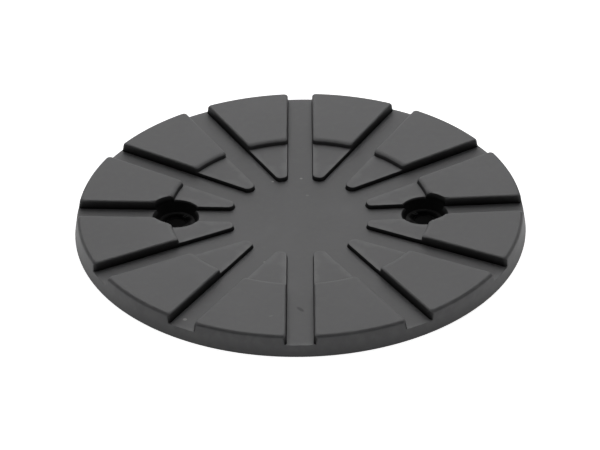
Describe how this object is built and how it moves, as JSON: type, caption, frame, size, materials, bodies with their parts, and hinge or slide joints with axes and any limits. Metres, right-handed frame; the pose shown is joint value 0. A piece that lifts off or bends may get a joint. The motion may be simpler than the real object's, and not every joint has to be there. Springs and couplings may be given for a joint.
{
  "type": "rubber pad",
  "caption": "Round black rubber pad with a dished, ribbed grip face, radial grooves and countersunk screw recesses.",
  "frame": {"origin": "on the axis of the disc, on its flat underside", "axes": "+Z along the disc's axis, out of the ribbed face; +X through the middles of the two screw recesses"},
  "size_m": [0.18, 0.18, 0.0083],
  "materials": {
    "rubber": "matt black moulded rubber with a fine grain"
  },
  "bodies": {
    "root": {"pad": "rubber"}
  },
  "joints": []
}
